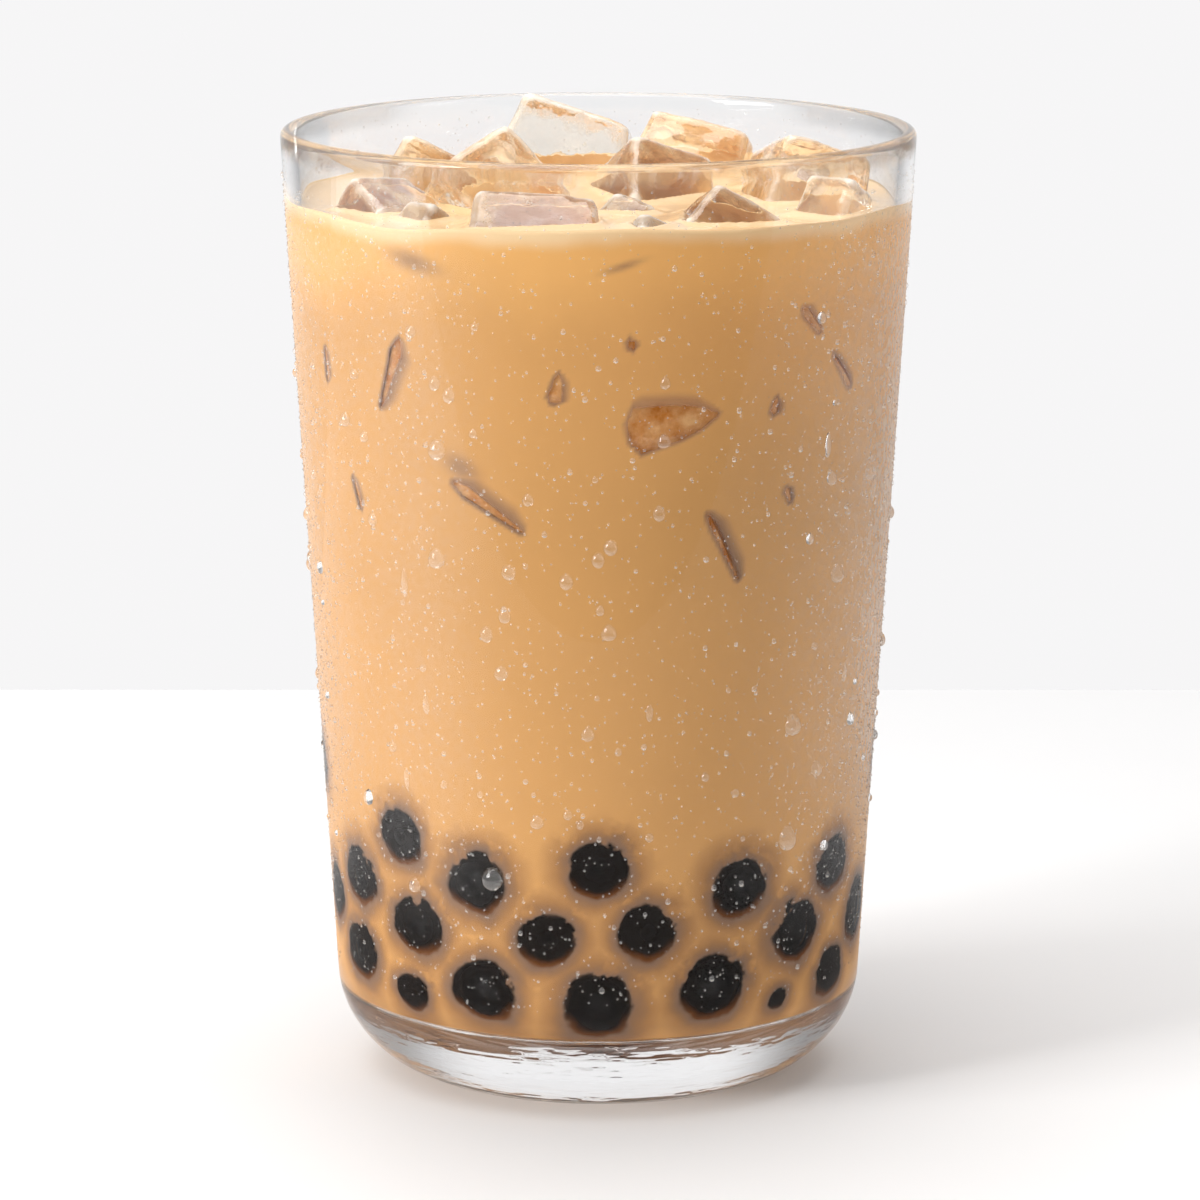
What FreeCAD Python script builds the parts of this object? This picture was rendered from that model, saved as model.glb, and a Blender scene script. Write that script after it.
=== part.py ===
import FreeCAD, Part
import Sketcher
import math
import os
from FreeCAD import Placement, Rotation, Vector

# Iced milk tea with tapioca pearls and ice in a clear tumbler.
# The origin is the middle of the tumbler's foot, +Z is up and -Y faces the viewer.
# Lengths are in millimetres and angles in degrees.

# Each size is written once, here, and the sheet hands it to everything that uses it.
sizes = {
    # tumbler
    "glass_height": 133,
    "rim_radius": 44,  # outside of the straight side, carried up to the rim
    "base_radius": 36.1,  # outside of the straight side, carried down to the table
    "rim_wall": 2.2,
    "low_wall": 2.6,  # wall beside the thick floor
    "floor_thickness": 11,
    "floor_round": 7,  # inside corner between wall and floor
    "heel_height": 8,  # the heel is a bevel of this height, softened by two rounds
    "heel_inset": 8.1,
    "heel_round_low": 13.2,
    "heel_round_high": 14.2,
    # tea
    "headroom": 9.8,  # rim down to the tea
    "tea_gap": 0.1,  # clearance between the tea and the glass
    # tapioca pearls
    "pearl_size": 10.2,  # average diameter
    "pearl_cover": 0.5,  # tea between a pearl and the wall, at the least
    "pearl_corner_cover": 0.28,  # the same in the round corner above the floor
    "pearl_gap": 0.1,  # clearance between a pearl and its hollow in the tea
    # ice
    "ice_mouth": 41.3,  # the tea's radius that the ice list below is laid out for
    "ice_round": 1.3,
    "ice_taper": 4,
    "ice_skew": 1.5,
}

# Pearls that lie against one half of the wall; a half turn of them fills the other half.
# Each: bearing from -Y towards +X, height above the floor in pearl sizes,
# diameter in pearl sizes, and how much deeper than pearl_cover it lies.
pearl_sites = [
    (0, 0.62, 1.10, 0),
    (26, 0.78, 1.02, 0),
    (-26, 0.72, 0.98, 0),
    (-46, 0.50, 0.80, 1.2),
    (-65, 0.86, 0.94, 0.4),
    (44, 0.44, 0.74, 3.2),
    (63, 0.58, 0.90, 0.8),
    (-11, 1.52, 0.96, 0.6),
    (11, 1.62, 0.98, 0.6),
    (-43, 1.48, 0.98, 0.2),
    (48, 1.36, 1.00, 0.2),
    (77, 1.26, 0.98, 0.2),
    (-80, 1.50, 0.94, 0.4),
    (-63, 1.94, 0.96, 0.4),
    (-27, 2.22, 0.98, 0.2),
    (0, 2.50, 0.96, 0.4),
    (32, 2.14, 0.98, 0.2),
    (61, 2.14, 0.96, 0.6),
    (-47, 2.68, 0.94, 0.6),
    (-88, 3.24, 0.94, 0.6),
]

# Ice blocks that float at the top.
# Each: name, place of the middle (height counted from the tea's surface),
# turn (yaw, pitch, roll) and length, width and depth.
ice_blocks = [
    ("back", (-5, 28, 1.5), (-5, 20, 70), (20.5, 16, 17)),
    ("left_back", (-23, 7, -3.5), (-5, 25, 60), (20, 17, 16)),
    ("mid_left", (-13.5, -8.5, 0), (-25, 45, 45), (18, 15.5, 15)),
    ("centre", (7.5, 4, -2.5), (20, 20, 45), (17, 16, 15)),
    ("right_back", (13.5, 24, -0.5), (-15, 15, 55), (19, 15, 16)),
    ("right", (29, -1.5, 0), (10, 20, 65), (17, 15, 14)),
    ("front_left", (-29, -13, -2.5), (40, 5, 25), (14, 12, 11.5)),
    ("front_dome", (-8.5, -27.5, -3.5), (0, 5, 35), (20, 12.5, 13)),
    ("front_right", (18.5, -24, -4), (-5, 35, 50), (18.5, 11.5, 12)),
    ("far_right", (31.5, -17, -0.5), (55, 30, 0), (10, 10, 10)),
    ("back_left", (-23, 26, -3), (45, 15, 0), (12, 10, 11)),
    ("back_right", (27, 14, -3), (-25, 5, 30), (13, 11, 11)),
    ("small_front", (-23.5, -23, -3), (40, 35, 0), (9.5, 9, 9.5)),
    ("front_mid", (4, -14.5, -3.5), (-30, 20, 40), (10, 9, 10)),
    ("inner_left", (-7.5, 10, -3), (20, 25, 40), (9, 7.5, 8)),
    ("inner_right", (16, -11, -4), (60, 15, 35), (9.5, 8, 9)),
    ("front_wedge", (6.5, -32, -3), (15, 30, 30), (9, 7.5, 8)),
]

doc = FreeCAD.newDocument("BubbleTea")
sheet = doc.addObject("Spreadsheet::Sheet", "Sizes")


def fill_sheet():
    """Write every size to the sheet, each under its own alias."""
    rows = dict(sizes)
    for name, _, _, (length, width, depth) in ice_blocks:
        rows[f"ice_{name}_length"] = length
        rows[f"ice_{name}_width"] = width
        rows[f"ice_{name}_depth"] = depth
    for row, (alias, value) in enumerate(rows.items(), start=1):
        sheet.set(f"A{row}", alias)
        sheet.set(f"B{row}", str(value))
        sheet.setAlias(f"B{row}", alias)
    doc.recompute()


def size(alias):
    """One value of the sheet."""
    return float(sheet.get(alias))


def wall_radius(height):
    """Inside radius of the tumbler's straight wall at a height."""
    low = size("base_radius") - size("low_wall")
    high = size("rim_radius") - size("rim_wall")
    return low + (high - low) * height / size("glass_height")


def tea_level():
    """Height of the tea's surface above the foot."""
    return size("glass_height") - size("headroom")


def outside_radius(height):
    """The outside's radius at a height, as an expression for the sheet."""
    return (
        f"(Sizes.base_radius + (Sizes.rim_radius - Sizes.base_radius)"
        f" * ({height}) / Sizes.glass_height)"
    )


def inside_radius(height):
    """The inside's radius at a height, as an expression for the sheet."""
    return (
        f"(Sizes.base_radius - Sizes.low_wall"
        f" + (Sizes.rim_radius - Sizes.rim_wall - Sizes.base_radius + Sizes.low_wall)"
        f" * ({height}) / Sizes.glass_height)"
    )


def origin_plane(body, role):
    """The body's own origin plane with this role."""
    return next(f for f in body.Origin.OriginFeatures if f.Role == role)


def add_outline(body, name, plane, corners):
    """A closed sketch of straight lines. A corner is a pair of expressions, where "0" lies on an axis."""
    sketch = body.newObject("Sketcher::SketchObject", name)
    sketch.AttachmentSupport = (origin_plane(body, plane), [""])
    sketch.MapMode = "FlatFace"
    points = [corner_point(sketch, corner) for corner in corners]
    count = len(points)
    for index in range(count):
        line = Part.LineSegment(points[index], points[(index + 1) % count])
        sketch.addGeometry(line, False)
    for index in range(count):
        joint = Sketcher.Constraint("Coincident", index, 2, (index + 1) % count, 1)
        sketch.addConstraint(joint)
    for index, (across, up) in enumerate(corners):
        bind_corner(sketch, index, "DistanceX", across, points[index].x)
        bind_corner(sketch, index, "DistanceY", up, points[index].y)
    return sketch


def corner_point(sketch, corner):
    """Where a corner's expressions put it, for the line to start from."""
    across, up = (float(sketch.evalExpression(text)) for text in corner)
    return Vector(across, up, 0)


def bind_corner(sketch, index, kind, text, value):
    """Tie one coordinate of a line's first point to the sheet, or to the sketch's own axis."""
    if text == "0":
        axis = -2 if kind == "DistanceX" else -1
        sketch.addConstraint(Sketcher.Constraint("PointOnObject", index, 1, axis))
        return
    constraint = sketch.addConstraint(Sketcher.Constraint(kind, -1, 1, index, 1, value))
    sketch.setExpression(f"Constraints[{constraint}]", text)


def spin(body, sketch, name):
    """The sketch turned once round the upright axis."""
    revolution = body.newObject("PartDesign::Revolution", name)
    revolution.Profile = sketch
    revolution.ReferenceAxis = (sketch, ["V_Axis"])
    revolution.Angle = 360
    sketch.Visibility = False
    doc.recompute()
    return revolution


def ring_edges(feature, radius, height):
    """Names of the round edges with this radius at this height."""
    names = []
    for index, edge in enumerate(feature.Shape.Edges, start=1):
        curve = edge.Curve
        if not hasattr(curve, "Radius"):
            continue
        if abs(curve.Radius - radius) < 0.01 and abs(curve.Center.z - height) < 0.01:
            names.append(f"Edge{index}")
    return names


def round_ring(body, name, base, corner, radius):
    """Round the ring edge that the outline's corner made."""
    point = corner_point(sheet, corner)
    fillet = body.newObject("PartDesign::Fillet", name)
    fillet.Base = (base, ring_edges(base, point.x, point.y))
    fillet.setExpression("Radius", radius)
    doc.recompute()
    return fillet


def make_glass():
    """The tumbler: a thick floor, a rounded heel, a straight flaring wall and a rounded rim."""
    body = doc.addObject("PartDesign::Body", "Glass")
    body.Label = "glass"
    top = "Sizes.glass_height"
    floor = "Sizes.floor_thickness"
    foot = (f"{outside_radius('0')} - Sizes.heel_inset", "0")
    shoulder = (outside_radius("Sizes.heel_height"), "Sizes.heel_height")
    rim_outside = ("Sizes.rim_radius", top)
    rim_inside = ("Sizes.rim_radius - Sizes.rim_wall", top)
    floor_corner = (inside_radius(floor), floor)
    outline = [("0", "0"), foot, shoulder, rim_outside, rim_inside, floor_corner, ("0", floor)]
    sketch = add_outline(body, "GlassOutline", "XZ_Plane", outline)
    last = spin(body, sketch, "GlassWall")
    # Just under half of the rim's width, so that the two rim rounds never meet.
    rim_round = "Sizes.rim_wall * 0.48"
    last = round_ring(body, "HeelHigh", last, shoulder, "Sizes.heel_round_high")
    last = round_ring(body, "HeelLow", last, foot, "Sizes.heel_round_low")
    last = round_ring(body, "FloorRound", last, floor_corner, "Sizes.floor_round")
    last = round_ring(body, "RimOutside", last, rim_outside, rim_round)
    last = round_ring(body, "RimInside", last, rim_inside, rim_round)
    return body


def make_tea_fill():
    """All that the tumbler holds up to the tea's surface, before the hollows are cut."""
    body = doc.addObject("PartDesign::Body", "TeaFill")
    level = "(Sizes.glass_height - Sizes.headroom)"
    bottom = "(Sizes.floor_thickness + Sizes.tea_gap)"
    low_corner = (f"{inside_radius(bottom)} - Sizes.tea_gap", bottom)
    high_corner = (f"{inside_radius(level)} - Sizes.tea_gap", level)
    outline = [("0", bottom), low_corner, high_corner, ("0", level)]
    sketch = add_outline(body, "TeaOutline", "XZ_Plane", outline)
    fill = spin(body, sketch, "TeaBulk")
    round_ring(body, "TeaRound", fill, low_corner, "Sizes.floor_round - Sizes.tea_gap")
    return body


def make_ball(name, scale, squash, gap):
    """A slightly uneven ball, `scale` pearl sizes across and grown by an expression `gap` all round."""
    ball = doc.addObject("Part::Ellipsoid", name)
    radius = f"Sizes.pearl_size * {scale / 2}"
    ball.setExpression("Radius1", f"{radius} * {1 - squash} + {gap}")
    ball.setExpression("Radius2", f"{radius} + {gap}")
    ball.setExpression("Radius3", f"{radius} * {1 - squash / 2} + {gap}")
    return ball


def corner_reach(up, half):
    """How far out a ball of that half size can lie, where the wall rounds off into the floor."""
    bend = size("floor_round")
    middle_up = size("floor_thickness") + bend
    if up >= middle_up:
        return wall_radius(up)
    lean = math.atan(wall_radius(1) - wall_radius(0))
    middle = wall_radius(middle_up) - bend / math.cos(lean)
    free = bend - half - size("pearl_corner_cover")
    return middle + math.sqrt(max(0, free ** 2 - (middle_up - up) ** 2))


def pearl_place(site, half_turn):
    """Against the wall at the site's bearing, and turned so that no two lie alike."""
    bearing, height, scale, depth = site
    up = size("floor_thickness") + height * size("pearl_size")
    half = scale * size("pearl_size") / 2
    reach = min(wall_radius(up) - size("pearl_cover") - depth - half, corner_reach(up, half))
    angle = math.radians(bearing + 180 * half_turn)
    middle = Vector(reach * math.sin(angle), -reach * math.cos(angle), up)
    return Placement(middle, Rotation(3 * bearing, 0, 40 * height))


def make_pearls():
    """Every pearl and, for each, the larger hollow that it leaves in the tea."""
    pearls = []
    hollows = []
    for half_turn in (0, 1):
        for index, site in enumerate(pearl_sites):
            number = half_turn * len(pearl_sites) + index + 1
            place = pearl_place(site, half_turn)
            squash = (0.02, 0.05, 0.035)[number % 3]
            pearl = make_ball(f"Pearl{number:02d}", site[2], squash, "0")
            pearl.Label = f"pearl_{number:02d}"
            pearl.Placement = place
            hollow = make_ball(f"PearlHollow{number:02d}", site[2], squash, "Sizes.pearl_gap")
            hollow.Placement = place
            pearls.append(pearl)
            hollows.append(hollow)
    return pearls, hollows


def ice_scale():
    """How much wider this tumbler is at the tea's surface than the one the ice list is for."""
    return (wall_radius(tea_level()) - size("tea_gap")) / size("ice_mouth")


def make_ice_block(name, place, turn):
    """A tapered block on an uneven four-sided base, with melted edges."""
    body = doc.addObject("PartDesign::Body", f"Ice_{name}")
    body.Label = f"ice_{name}"
    scale = ice_scale()
    length = f"Sizes.ice_{name}_length * {scale}"
    width = f"Sizes.ice_{name}_width * {scale}"
    depth = f"Sizes.ice_{name}_depth * {scale}"
    skew = f"Sizes.ice_skew * {scale}"
    corners = [
        ("0", "0"),
        (length, skew),
        (f"{length} - {skew}", width),
        (f"{skew} / 2", f"{width} - {skew} / 2"),
    ]
    sketch = add_outline(body, f"Base_{name}", "XY_Plane", corners)
    pad = body.newObject("PartDesign::Pad", f"Block_{name}")
    pad.Profile = sketch
    pad.setExpression("Length", depth)
    pad.setExpression("TaperAngle", "-Sizes.ice_taper")
    sketch.Visibility = False
    doc.recompute()
    melt = body.newObject("PartDesign::Fillet", f"Melt_{name}")
    melt.Base = (pad, [f"Edge{index + 1}" for index in range(len(pad.Shape.Edges))])
    melt.setExpression("Radius", f"Sizes.ice_round * {scale}")
    across, along, above = place
    middle = Vector(across * scale, along * scale, tea_level() + above * scale)
    half = [float(sheet.evalExpression(text)) / 2 for text in (length, width, depth)]
    body.Placement = Placement(middle, Rotation(*turn)) * Placement(Vector(*half) * -1, Rotation())
    return body


def make_ice():
    return [make_ice_block(name, place, turn) for name, place, turn, _ in ice_blocks]


def make_tea(fill, hollows, ice):
    """The tea, cut round the pearls and the ice."""
    cutters = doc.addObject("Part::Compound", "TeaHollows")
    cutters.Links = hollows + ice
    tea = doc.addObject("Part::Cut", "Tea")
    tea.Label = "tea"
    tea.Base = fill
    tea.Tool = cutters
    return tea


def check_and_write(nodes):
    """Stop at anything that failed, then write one STEP file for each node."""
    doc.recompute()
    for item in doc.Objects:
        if "Invalid" in item.State or "Error" in item.State:
            raise RuntimeError(f"{item.Name} did not build: {item.State}")
    for node in nodes:
        if node.Shape.isNull() or not node.Shape.isValid() or len(node.Shape.Solids) != 1:
            raise RuntimeError(f"{node.Label} is not one valid solid")
    os.makedirs("parts", exist_ok=True)
    for node in nodes:
        node.Shape.exportStep(f"parts/{node.Label}.step")
        print(f"{node.Label}: {node.Shape.Volume:.0f} mm3")


fill_sheet()
glass = make_glass()
tea_fill = make_tea_fill()
pearls, pearl_hollows = make_pearls()
ice = make_ice()
tea = make_tea(tea_fill, pearl_hollows, ice)
check_and_write([glass, tea] + pearls + ice)
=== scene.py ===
import math
import bpy
import bmesh
import numpy as np
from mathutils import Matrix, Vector, noise
from mathutils.bvhtree import BVHTree


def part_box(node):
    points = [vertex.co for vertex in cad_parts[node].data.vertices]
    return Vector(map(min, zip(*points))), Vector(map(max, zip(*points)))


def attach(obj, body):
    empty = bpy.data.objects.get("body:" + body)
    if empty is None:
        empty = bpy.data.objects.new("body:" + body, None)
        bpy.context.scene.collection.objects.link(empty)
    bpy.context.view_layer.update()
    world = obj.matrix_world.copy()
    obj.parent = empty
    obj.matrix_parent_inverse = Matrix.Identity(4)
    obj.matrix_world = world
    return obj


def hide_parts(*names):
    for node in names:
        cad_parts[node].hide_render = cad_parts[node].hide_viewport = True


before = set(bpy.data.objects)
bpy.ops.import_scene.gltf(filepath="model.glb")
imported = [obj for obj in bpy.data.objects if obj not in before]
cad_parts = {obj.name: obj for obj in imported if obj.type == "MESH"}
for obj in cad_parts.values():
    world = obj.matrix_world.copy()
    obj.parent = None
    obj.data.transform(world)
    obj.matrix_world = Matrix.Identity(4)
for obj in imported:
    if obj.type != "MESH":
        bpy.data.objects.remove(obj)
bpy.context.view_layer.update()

# Iced milk tea with tapioca pearls in a clear tumbler.
# Lengths in the dictionaries are in millimetres and bearings in degrees,
# counted from the front (-Y) towards the right (+X).
mm = 0.001

# ---- the tumbler's form, which the tea, the drops and the sunken ice share

tumbler = {
    "height": 133.0,
    "rimRadius": 44.0,      # outside, carried up to the rim
    "baseRadius": 36.1,     # outside, carried down to the table
    "rimWall": 2.2,
    "lowWall": 2.6,
    "floor": 11.0,
    "floorRound": 7.0,
    "heelHeight": 8.0,
    "heelInset": 8.1,
    "heelRoundLow": 13.2,
    "heelRoundHigh": 14.2,
    "segments": 288,
    "waviness": 0.035,      # how far the wall strays from true
    "floorWaviness": 0.4,   # the same for the thick floor's upper side
    "hollow": 0.9,          # the underside rises this much towards its middle
    "hollowRadius": 19.0,
}


def outerRadius(z):
    return tumbler["baseRadius"] + (tumbler["rimRadius"] - tumbler["baseRadius"]) * z / tumbler["height"]


def innerRadius(z):
    low = tumbler["baseRadius"] - tumbler["lowWall"]
    high = tumbler["rimRadius"] - tumbler["rimWall"]
    return low + (high - low) * z / tumbler["height"]


def onWall(bearing, z, inset=0.0):
    # a point of the outer wall, moved in by inset
    angle = math.radians(bearing)
    reach = outerRadius(z) - inset
    return Vector((reach * math.sin(angle), -reach * math.cos(angle), z))


def wallAxes(bearing):
    # outward, sideways (to growing bearings) and up along the flaring wall
    angle = math.radians(bearing)
    flare = math.atan2(tumbler["rimRadius"] - tumbler["baseRadius"], tumbler["height"])
    level = Vector((math.sin(angle), -math.cos(angle), 0))
    side = Vector((math.cos(angle), math.sin(angle), 0))
    up = level * math.sin(flare) + Vector((0, 0, math.cos(flare)))
    return side.cross(up), side, up


def roundCorner(before, corner, after, radius, steps):
    # the points of an arc that rounds one corner of an outline
    b, c, a = Vector(before), Vector(corner), Vector(after)
    toBefore, toAfter = (b - c).normalized(), (a - c).normalized()
    half = toBefore.angle(toAfter) / 2
    middle = c + (toBefore + toAfter).normalized() * (radius / math.sin(half))
    start = c + toBefore * (radius / math.tan(half)) - middle
    end = c + toAfter * (radius / math.tan(half)) - middle
    sweep = start.angle(end)
    points = []
    for step in range(steps + 1):
        share = step / steps
        blend = start * math.sin((1 - share) * sweep) + end * math.sin(share * sweep)
        points.append(middle + blend / math.sin(sweep))
    return points


def spreadPoints(points, spacing):
    # the same outline with points at most spacing apart
    dense = [points[0]]
    for start, end in zip(points, points[1:]):
        parts = max(1, math.ceil((end - start).length / spacing))
        dense += [start.lerp(end, part / parts) for part in range(1, parts + 1)]
    return dense


def outline(corners, spacing):
    # corners are (radius, height, rounding); the first and last stay sharp
    points = [Vector(corners[0][:2])]
    for before, corner, after in zip(corners, corners[1:], corners[2:]):
        if corner[2]:
            steps = max(6, round(corner[2] / spacing * 1.6))
            points += roundCorner(before[:2], corner[:2], after[:2], corner[2], steps)
        else:
            points.append(Vector(corner[:2]))
    points.append(Vector(corners[-1][:2]))
    return spreadPoints(points, spacing)


def spin(points, segments):
    # rings of corners and faces of an outline turned round Z; ends on the axis become single corners
    corners, rings = [], []
    for point in points:
        if point.x < 1e-6:
            rings.append([len(corners)] * segments)
            corners.append((0.0, 0.0, point.y))
            continue
        rings.append(list(range(len(corners), len(corners) + segments)))
        for step in range(segments):
            angle = 2 * math.pi * step / segments
            corners.append((point.x * math.sin(angle), -point.x * math.cos(angle), point.y))
    faces, faceRing = [], []
    for row, (low, high) in enumerate(zip(rings, rings[1:])):
        for step in range(segments):
            after = (step + 1) % segments
            loop = [low[step], low[after], high[after], high[step]]
            face = [corner for index, corner in enumerate(loop) if corner != loop[index - 1]]
            if len(face) > 2:
                faces.append(face)
                faceRing.append(row)
    return np.array(corners), faces, faceRing


def placeInScene(name, data):
    # a new object for a mesh, a lamp or a camera
    piece = bpy.data.objects.new(name, data)
    bpy.context.scene.collection.objects.link(piece)
    return piece


def smoothFaces(mesh, smooth=True):
    mesh.polygons.foreach_set("use_smooth", [smooth] * len(mesh.polygons))


def makeMesh(name, corners, faces, smooth=True):
    # a new object from corners in millimetres
    mesh = bpy.data.meshes.new(name)
    mesh.from_pydata([tuple(c) for c in np.asarray(corners) * mm], [], faces)
    smoothFaces(mesh, smooth)
    mesh.update()
    return placeInScene(name, mesh)


def paintCorners(piece, name, values):
    # one number for each corner of the mesh, which a material can read
    layer = piece.data.attributes.new(name, "FLOAT", "POINT")
    layer.data.foreach_set("value", np.asarray(values, dtype=np.float32))


def cornersOf(mesh):
    # a mesh's corners in millimetres
    flat = np.empty(len(mesh.vertices) * 3)
    mesh.vertices.foreach_get("co", flat)
    return flat.reshape(-1, 3) / mm


def normalsOf(mesh):
    flat = np.empty(len(mesh.vertices) * 3)
    mesh.vertices.foreach_get("normal", flat)
    return flat.reshape(-1, 3)


def moveCorners(mesh, places):
    # places are in millimetres
    mesh.vertices.foreach_set("co", (places * mm).ravel())
    mesh.update()


def bakedMesh(piece):
    # a new mesh with the object's modifiers applied
    bpy.context.view_layer.update()
    return bpy.data.meshes.new_from_object(piece.evaluated_get(bpy.context.evaluated_depsgraph_get()))


def noiseAt(places, size, seed):
    # smooth noise from -1 to 1, one value for each place
    offset = Vector((seed * 17.3, seed * 9.1, seed * 5.7))
    return np.array([noise.noise(Vector(place) / size + offset) for place in places])


def finishPiece(piece, slotName, *stoodFor):
    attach(piece, "root")
    if stoodFor:
        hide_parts(*stoodFor)


# ---- material helpers

def newMaterial(name):
    material = bpy.data.materials.new(name)
    material.use_nodes = True
    material.node_tree.nodes.clear()
    return material, material.node_tree


def addNode(tree, kind, settings=None, inputs=None):
    # settings are the node's own, inputs are socket values or links from other sockets
    node = tree.nodes.new(kind)
    for key, value in (settings or {}).items():
        setattr(node, key, value)
    for key, value in (inputs or {}).items():
        if isinstance(value, bpy.types.NodeSocket):
            tree.links.new(value, node.inputs[key])
        else:
            node.inputs[key].default_value = value
    return node


def addMath(tree, operation, first, second=0.0, clamp=False):
    settings = {"operation": operation, "use_clamp": clamp}
    return addNode(tree, "ShaderNodeMath", settings, {0: first, 1: second}).outputs[0]


def addRange(tree, value, low, high, toLow=0.0, toHigh=1.0, smooth=False):
    settings = {"interpolation_type": "SMOOTHSTEP" if smooth else "LINEAR", "clamp": True}
    inputs = {"Value": value, "From Min": low, "From Max": high, "To Min": toLow, "To Max": toHigh}
    return addNode(tree, "ShaderNodeMapRange", settings, inputs).outputs[0]


def addAttribute(tree, name):
    # what paintCorners has stored
    return addNode(tree, "ShaderNodeAttribute", {"attribute_name": name}).outputs["Fac"]


def addPlace(tree):
    # across, along and up, in metres
    place = addNode(tree, "ShaderNodeTexCoord").outputs["Object"]
    return addNode(tree, "ShaderNodeSeparateXYZ", None, {0: place}).outputs


def addShader(tree, kind, inputs=None):
    return addNode(tree, "ShaderNodeBsdf" + kind, None, inputs).outputs[0]


def addSurface(tree, inputs):
    return addShader(tree, "Principled", inputs)


def addShaderMix(tree, factor, first, second):
    return addNode(tree, "ShaderNodeMixShader", None, {"Fac": factor, 1: first, 2: second}).outputs[0]


def addFacing(tree, blend=0.5):
    # 0 where the surface is seen straight on, 1 at its outline
    return addNode(tree, "ShaderNodeLayerWeight", None, {"Blend": blend}).outputs["Facing"]


def addNoise(tree, scale, detail=2.0, rough=0.5, stretch=(1, 1, 1)):
    place = addNode(tree, "ShaderNodeTexCoord").outputs["Object"]
    mapped = addNode(tree, "ShaderNodeMapping", None, {"Vector": place, "Scale": stretch})
    inputs = {"Vector": mapped.outputs[0], "Scale": scale, "Detail": detail, "Roughness": rough}
    return addNode(tree, "ShaderNodeTexNoise", None, inputs).outputs[0]


def addMix(tree, factor, first, second):
    # a blend of two colours
    node = addNode(tree, "ShaderNodeMix", {"data_type": "RGBA"})
    for socket, value in (("Factor_Float", factor), ("A_Color", first), ("B_Color", second)):
        target = next(s for s in node.inputs if s.identifier == socket)
        if isinstance(value, bpy.types.NodeSocket):
            tree.links.new(value, target)
        else:
            target.default_value = value
    return next(s for s in node.outputs if s.identifier == "Result_Color")


def addBump(tree, height, strength, distance):
    inputs = {"Height": height, "Strength": strength, "Distance": distance * mm}
    return addNode(tree, "ShaderNodeBump", None, inputs).outputs[0]


def addOutput(tree, shader):
    addNode(tree, "ShaderNodeOutputMaterial", None, {"Surface": shader})


def letLampsThrough(tree, shader, tint=(1, 1, 1, 1)):
    # clear things cast no black shadow: lamps and bounced light pass straight through
    path = addNode(tree, "ShaderNodeLightPath")
    either = addMath(tree, "MAXIMUM", path.outputs["Is Shadow Ray"], path.outputs["Is Diffuse Ray"])
    clear = addShader(tree, "Transparent", {"Color": tint})
    return addShaderMix(tree, either, shader, clear)


def linear(red, green, blue):
    # a colour given as 0-255 values, for a material
    def one(value):
        share = value / 255
        return share / 12.92 if share <= 0.04045 else ((share + 0.055) / 1.055) ** 2.4
    return (one(red), one(green), one(blue), 1.0)


# ---- camera

view = {
    "distance": 760.0,
    "height": 221.4,
    "lookDown": 11.54,
    "lens": 165.6,
    "shift": 0.0015,
}


def placeCamera():
    data = bpy.data.cameras.new("camera")
    data.lens = view["lens"]
    data.sensor_width = 36
    data.shift_x = view["shift"]
    data.clip_start = 0.01
    data.clip_end = 20
    camera = placeInScene("camera", data)
    camera.location = (0, -view["distance"] * mm, view["height"] * mm)
    camera.rotation_euler = (math.radians(90 - view["lookDown"]), 0, 0)
    bpy.context.scene.camera = camera


placeCamera()
print("camera placed")

# ---- tumbler

drink = {
    "headroom": 9.8,
    "reachIntoWall": 0.06,  # the tea's skin lies this far inside the glass
}
teaLevel = tumbler["height"] - drink["headroom"]

glassLook = {
    # where the glass has misted over: bearing, how far it spreads, how strong
    "mistPatches": [
        (80, 24, 1.0), (48, 18, 0.15), (-80, 26, 0.5),
        (-36, 14, 0.2), (150, 50, 0.45), (-140, 45, 0.4),
    ],
    "mistWhiteness": 0.38,
    "mistColour": (0.95, 0.95, 0.96, 1),
    "mistLow": 24.0,
    "mistHigh": 128.0,
    "calmness": 0.7,        # how much less the wall mirrors in front of the tea
    "rimClearness": 0.38,   # how much less the rim gathers the tea's colour
    "rimFrom": 129.0,
    "rimTo": 132.0,
    "streaksFrom": 9.0,     # the thick foot's streaks fade out from here
    "streaksTo": 13.0,
}


def foggedAt(bearings, heights):
    # how misted the wall is, from 0 to 1
    total = np.zeros(len(bearings))
    for bearing, spread, strength in glassLook["mistPatches"]:
        gap = (bearings - bearing + 180) % 360 - 180
        total += strength * np.exp(-((gap / spread) ** 2))
    fromBelow = np.clip((heights - glassLook["mistLow"]) / 25, 0, 1)
    fromAbove = np.clip((glassLook["mistHigh"] - heights) / 8, 0, 1)
    return np.clip(total, 0, 1) * (fromBelow * fromAbove)


def bearingsOf(corners):
    return np.degrees(np.arctan2(corners[:, 0], -corners[:, 1]))


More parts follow.
